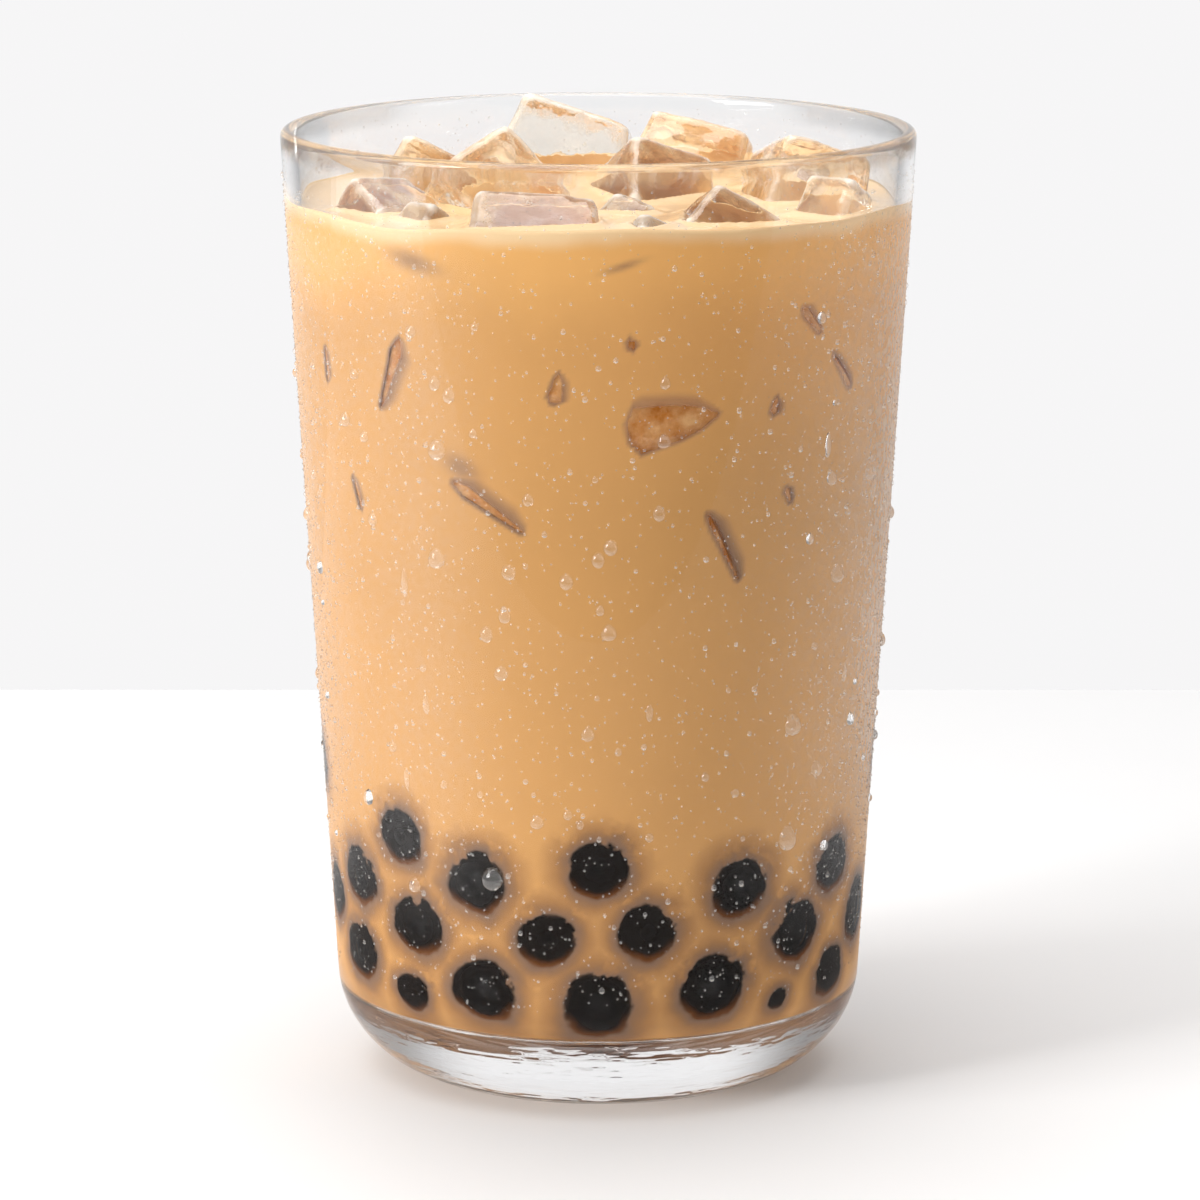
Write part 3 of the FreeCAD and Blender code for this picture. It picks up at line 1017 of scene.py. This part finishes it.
condensation = {
    # each kind: how many, smallest and largest radius, how flat, how many corners round it,
    # rings up its side, how strongly it follows the misted patches, and lowest and highest place
    "scattered": {
        "finestDrops": {"count": 19000, "sizes": (0.10, 0.23), "flat": 0.4, "around": 6, "rings": 0,
                        "onMist": 0.92, "low": 16, "high": 131, "seed": 11},
        "smallDrops": {"count": 1900, "sizes": (0.15, 0.42), "flat": 0.45, "around": 10, "rings": 2,
                       "onMist": 0.6, "low": 18, "high": 129, "seed": 23},
        "largeDrops": {"count": 170, "sizes": (0.4, 1.0), "flat": 0.42, "around": 20, "rings": 6,
                       "onMist": 0.6, "low": 30, "high": 112, "seed": 37},
    },
    # the biggest single drops: bearing, height and radius
    "single": [
        (-31, 94, 1.3), (-32, 79, 1.25), (-17, 78, 1.0), (-18, 72, 0.95), (-6, 77, 1.0), (0, 80, 0.95),
        (2, 70, 1.05), (-19, 64, 1.0), (-2, 56, 0.95), (42, 55, 1.35), (42, 39, 1.5), (53, 75, 1.2),
        (-31, 103, 0.85), (-22, 35, 1.5), (12, 96, 0.9), (-13, 88, 0.8), (63, 88, 1.0), (66, 70, 0.9),
    ],
    # drops that have run: bearing, top, bottom and half width
    "runs": [
        (-40, 77, 73, 0.6), (-36, 60, 57, 0.55), (-42, 49, 46, 0.5), (10, 60, 57.5, 0.5),
        (48, 95, 91.5, 0.6), (66, 89, 84, 0.7), (70, 68, 64, 0.6), (58, 62, 59, 0.55),
        (150, 80, 75, 0.7), (-150, 70, 66, 0.6),
    ],
    "outlineSeed": 5,       # for the drops' uneven outlines
    # the finer drops are too small to show what they bend
    # glow: the share of painted light on each drop's foot
    "drop": {"bends": True, "sheen": 0.03, "roughness": 0.12, "glow": 0.22},
    "fineDrop": {"bends": False, "sheen": 0.05, "roughness": 0.3, "glow": 0.6},
}


def dropShape(around, rings):
    # a dome with a flat underside: (across, up, out) for each corner
    corners, faces = [(0, 0, 1.0)], []
    for ring in range(1, rings + 2):
        lift = math.pi / 2 * ring / (rings + 1)
        for step in range(around):
            angle = 2 * math.pi * step / around
            across, along = math.cos(angle), math.sin(angle)
            corners.append((math.sin(lift) * across, math.sin(lift) * along, math.cos(lift)))
    for step in range(around):
        faces.append((0, 1 + step, 1 + (step + 1) % around))
    for ring in range(rings):
        low = 1 + ring * around
        for step in range(around):
            after = (step + 1) % around
            faces.append((low + step, low + around + step, low + around + after, low + after))
    under = [1 + rings * around + step for step in range(around)]
    faces.append(tuple(reversed(under)))
    return np.array(corners), faces, under


def placeDrops(drops, around, rings, flat):
    # drops are (bearing, height, radius, stretch); gives corners, faces and the undersides' corners
    shape, shapeFaces, under = dropShape(around, rings)
    allCorners, allFaces, allUnder = [], [], []
    for index, (bearing, height, radius, stretch) in enumerate(drops):
        outward, side, up = wallAxes(bearing)
        base = onWall(bearing, height, 0.03)
        lobes = noise.noise_vector(Vector((bearing * 3.1, height * 2.3, 7.7)))
        angle = np.arctan2(shape[:, 1], shape[:, 0])
        uneven = 1 + 0.16 * lobes.x * np.cos(2 * angle) + 0.12 * lobes.y * np.cos(3 * angle + 1)
        across = shape[:, 0] * radius * uneven
        along = shape[:, 1] * radius * uneven * stretch
        # larger drops hang a little, fuller below than above
        along = along - radius * 0.18 * stretch * shape[:, 2] * min(1.0, radius)
        out = shape[:, 2] * radius * 2 * flat
        across = across * (1 - 0.16 * np.clip(shape[:, 1], 0, 1) * min(1.0, radius))
        placed = (np.outer(across, side) + np.outer(along, up) + np.outer(out, outward)) + np.array(base)
        start = index * len(shape)
        allCorners.append(placed)
        allFaces += [tuple(start + i for i in face) for face in shapeFaces]
        allUnder += [start + i for i in under]
    return np.concatenate(allCorners), allFaces, allUnder


def waterMaterial(name, look):
    # clear water with a painted shade round its rim where it is seen edge-on, and painted light on its
    # foot where the light that falls through it would gather
    material, tree = newMaterial(name)
    rim = addMix(tree, addRange(tree, addFacing(tree), 0.5, 0.95), (1, 1, 1, 1), (0.6, 0.5, 0.4, 1))
    if look["bends"]:
        water = addSurface(tree, {
            "Base Color": rim, "Roughness": 0.0, "IOR": 1.33, "Transmission Weight": 1.0})
    else:
        water = addShader(tree, "Transparent", {"Color": rim})
    gloss = addShader(tree, "Anisotropic", {"Color": (1, 1, 1, 1), "Roughness": look["roughness"]})
    # painted light on the foot of each drop
    bright = addShader(tree, "Diffuse", {"Color": (0.97, 0.93, 0.87, 1)})
    normal = addNode(tree, "ShaderNodeNewGeometry").outputs["Normal"]
    upward = addNode(tree, "ShaderNodeSeparateXYZ", None, {0: normal}).outputs[2]
    foot = addRange(tree, upward, 0.1, -0.75, 0.04, 1.0, smooth=True)
    glossy = addShaderMix(tree, look["sheen"], water, gloss)
    mixed = addShaderMix(tree, addMath(tree, "MULTIPLY", foot, look["glow"]), glossy, bright)
    addOutput(tree, letLampsThrough(tree, mixed))
    return material


def makeDropPiece(name, drops, around, rings, flat, material):
    corners, faces, under = placeDrops(drops, around, rings, flat)
    piece = makeMesh(name, corners, faces)
    isUnder = np.zeros(len(corners), bool)
    isUnder[under] = True
    ends = np.empty(len(piece.data.edges) * 2, int)
    piece.data.edges.foreach_get("vertices", ends)
    sharp = isUnder[ends.reshape(-1, 2)].all(axis=1)
    layer = piece.data.attributes.new("sharp_edge", "BOOLEAN", "EDGE")
    layer.data.foreach_set("value", sharp)
    piece.data.materials.append(material)
    finishPiece(piece, "glass")


def scatterDrops(kind):
    # random places, kept more often where the glass is misted
    chance = np.random.default_rng(kind["seed"])
    drops = []
    while len(drops) < kind["count"]:
        bearing = chance.uniform(-180, 180)
        height = chance.uniform(kind["low"], kind["high"])
        keep = chance.random()
        size = chance.random()
        mist = foggedAt(np.array([bearing]), np.array([height]))[0]
        if keep < (1 - kind["onMist"]) + kind["onMist"] * (0.10 + 0.90 * mist):
            low, high = kind["sizes"]
            drops.append((bearing, height, low + (high - low) * size ** 2.5, 1.0 + 0.15 * size))
    return drops


def makeCondensation():
    noise.seed_set(condensation["outlineSeed"])
    material = waterMaterial("water", condensation["drop"])
    fineMaterial = waterMaterial("mistWater", condensation["fineDrop"])
    for name, kind in condensation["scattered"].items():
        water = material if name == "largeDrops" else fineMaterial
        makeDropPiece(name, scatterDrops(kind), kind["around"], kind["rings"], kind["flat"], water)
    single = [(b, h, r, 1.12) for b, h, r in condensation["single"]]
    single += [(180 - b, h, r, 1.12) for b, h, r in condensation["single"]]
    makeDropPiece("singleDrops", single, 28, 8, 0.42, material)
    runs = condensation["runs"]
    ran = [(b, (top + low) / 2, half, (top - low) / 2 / half) for b, top, low, half in runs]
    makeDropPiece("runs", ran, 28, 6, 0.3, material)


makeCondensation()
print("condensation made")

# ---- table, backdrop and light

studio = {
    "tableDepth": 241.0,
    "tableWidth": 3000.0,
    "key": {"place": (-860, -430, 480), "size": (420, 520), "power": 6.2},
    "sparkle": {"place": (-760, -560, 520), "size": (160, 220), "power": 2.0},
    "top": {"place": (-60, 30, 780), "size": (620, 460), "power": 3.3},
    "fill": {"place": (800, -300, 300), "size": (260, 600), "power": 0.8},
    "around": 0.17,         # brightness of the room beside and in front
    "above": 0.5,           # of its ceiling
    "behind": 0.97,         # and of the backdrop
    "tableColour": (0.86, 0.853, 0.85, 1),
    "tableLight": (0.88, 0.875, 0.87, 1),   # its paler patches
    "room": (0.93, 0.93, 0.94, 1),
    "backdrop": (0.925, 0.92, 0.925, 1),
}


def makeTable():
    half = studio["tableWidth"] / 2
    depth = studio["tableDepth"]
    corners = [(-half, -depth, 0), (half, -depth, 0), (half, depth, 0), (-half, depth, 0)]
    table = makeMesh("table", corners, [(0, 1, 2, 3)], smooth=False)
    material, tree = newMaterial("table")
    patchy = addRange(tree, addNoise(tree, 9, 3), 0.3, 0.7)
    tone = addMix(tree, patchy, studio["tableColour"], studio["tableLight"])
    addOutput(tree, addSurface(tree, {"Base Color": tone, "Roughness": 0.6, "Specular IOR Level": 0.3}))
    table.data.materials.append(material)


def addLamp(name, lamp):
    data = bpy.data.lights.new(name, "AREA")
    data.shape = "RECTANGLE"
    data.size = lamp["size"][0] * mm
    data.size_y = lamp["size"][1] * mm
    data.energy = lamp["power"]
    piece = placeInScene(name, data)
    place = Vector(lamp["place"]) * mm
    piece.location = place
    aim = Vector((0, 0, 60 * mm)) - place
    piece.rotation_euler = aim.to_track_quat("-Z", "Y").to_euler()


def makeWorld():
    world = bpy.data.worlds.new("studio")
    bpy.context.scene.world = world
    world.use_nodes = True
    tree = world.node_tree
    tree.nodes.clear()
    place = addNode(tree, "ShaderNodeTexCoord").outputs["Generated"]
    parts = addNode(tree, "ShaderNodeSeparateXYZ", None, {0: place})
    sideways = addMath(tree, "ABSOLUTE", parts.outputs[0])
    sides = addRange(tree, sideways, 0.3, 0.7, 1.0, 0.3, smooth=True)
    front = addRange(tree, parts.outputs[1], -0.1, 0.45, studio["around"], studio["behind"], smooth=True)
    ceiling = addRange(tree, parts.outputs[2], 0.2, 0.65, 0.0, studio["above"], smooth=True)
    bright = addMath(tree, "MAXIMUM", addMath(tree, "MULTIPLY", sides, front), ceiling)
    inputs = {"Color": studio["room"], "Strength": bright}
    around = addNode(tree, "ShaderNodeBackground", None, inputs).outputs[0]
    inputs = {"Color": studio["backdrop"], "Strength": 1.0}
    seen = addNode(tree, "ShaderNodeBackground", None, inputs).outputs[0]
    path = addNode(tree, "ShaderNodeLightPath")
    mixed = addShaderMix(tree, path.outputs["Is Camera Ray"], around, seen)
    addNode(tree, "ShaderNodeOutputWorld", None, {"Surface": mixed})


def setUpScene():
    scene = bpy.context.scene
    scene.view_settings.view_transform = "Standard"
    scene.cycles.max_bounces = 16
    scene.cycles.transmission_bounces = 12
    scene.cycles.transparent_max_bounces = 24
    scene.cycles.glossy_bounces = 6
    scene.cycles.diffuse_bounces = 3
    scene.cycles.caustics_reflective = False
    scene.cycles.caustics_refractive = False


makeTable()
for lampName in ("key", "sparkle", "top", "fill"):
    addLamp(lampName, studio[lampName])
makeWorld()
setUpScene()
print("studio lit")
